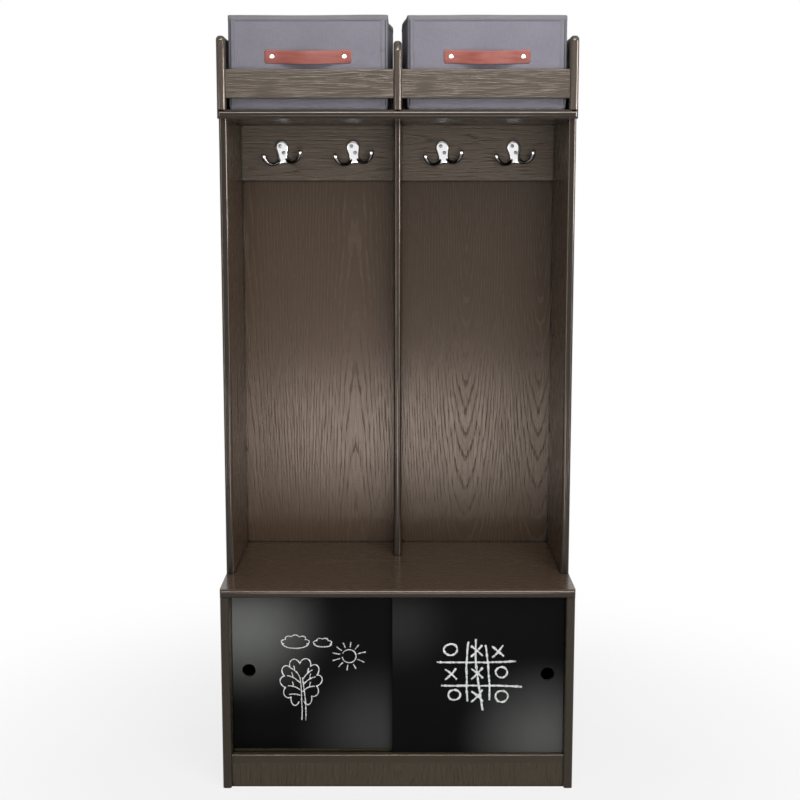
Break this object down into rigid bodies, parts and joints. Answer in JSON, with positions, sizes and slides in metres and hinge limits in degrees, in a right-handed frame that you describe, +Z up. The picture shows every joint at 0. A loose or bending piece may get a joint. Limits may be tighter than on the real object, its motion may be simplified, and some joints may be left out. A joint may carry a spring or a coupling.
{
  "type": "cubby storage unit",
  "caption": "Hall storage unit: bench cabinet with sliding chalkboard doors, divided coat bay with double hooks, and a railed top shelf that holds lift-out fabric bins.",
  "frame": {"origin": "on the floor, under the middle of the unit's box", "axes": "+X to the right as the user faces the unit, +Y to the back, +Z up"},
  "size_m": [0.653, 0.381, 1.413],
  "materials": {
    "stained_oak": "dark brown stained open-grain oak, satin",
    "bare_beech": "bare wood",
    "chalkboard": "satin black chalkboard paint on board",
    "bin_cloth": "lavender grey woven cloth over stiff board",
    "bin_board": "covered stiff board",
    "strap_leather": "red brown leather",
    "rivet_nickel": "bright nickel",
    "hook_chrome": "polished chrome",
    "screw_steel": "zinc plated"
  },
  "bodies": {
    "cabinet": {"left_base_side": "stained_oak", "right_base_side": "stained_oak", "toe_kick": "stained_oak", "cabinet_floor": "stained_oak", "bench_top": "stained_oak", "lower_back_panel": "stained_oak", "upper_back_panel": "stained_oak", "left_upper_side": "stained_oak", "right_upper_side": "stained_oak", "centre_divider": "stained_oak", "left_hook_board": "stained_oak", "right_hook_board": "stained_oak", "top_shelf": "stained_oak", "left_gallery_side": "stained_oak", "right_gallery_side": "stained_oak", "gallery_divider": "stained_oak", "left_gallery_rail": "stained_oak", "right_gallery_rail": "stained_oak", "gallery_back_rail": "stained_oak", "loose_tenons": "bare_beech", "coat_hooks": "hook_chrome", "hook_screws": "screw_steel"},
    "left_sliding_door": {"left_door": "chalkboard"},
    "right_sliding_door": {"right_door": "chalkboard"},
    "left_storage_bin": {"left_bin": "bin_cloth", "left_bin_base_board": "bin_board", "left_bin_strap": "strap_leather", "left_bin_rivets": "rivet_nickel"},
    "right_storage_bin": {"right_bin": "bin_cloth", "right_bin_base_board": "bin_board", "right_bin_strap": "strap_leather", "right_bin_rivets": "rivet_nickel"}
  },
  "joints": [
    {"name": "left_door_slide", "type": "slide", "parent": "cabinet", "child": "left_sliding_door", "axis": [1, 0, 0], "range_m": [0, 0.298]},
    {"name": "right_door_slide", "type": "slide", "parent": "cabinet", "child": "right_sliding_door", "axis": [-1, 0, 0], "range_m": [0, 0.298]},
    {"name": "left_bin_lift", "type": "slide", "parent": "cabinet", "child": "left_storage_bin", "axis": [0, 0, 1], "range_m": [0, 0.2]},
    {"name": "right_bin_lift", "type": "slide", "parent": "cabinet", "child": "right_storage_bin", "axis": [0, 0, 1], "range_m": [0, 0.2]}
  ]
}
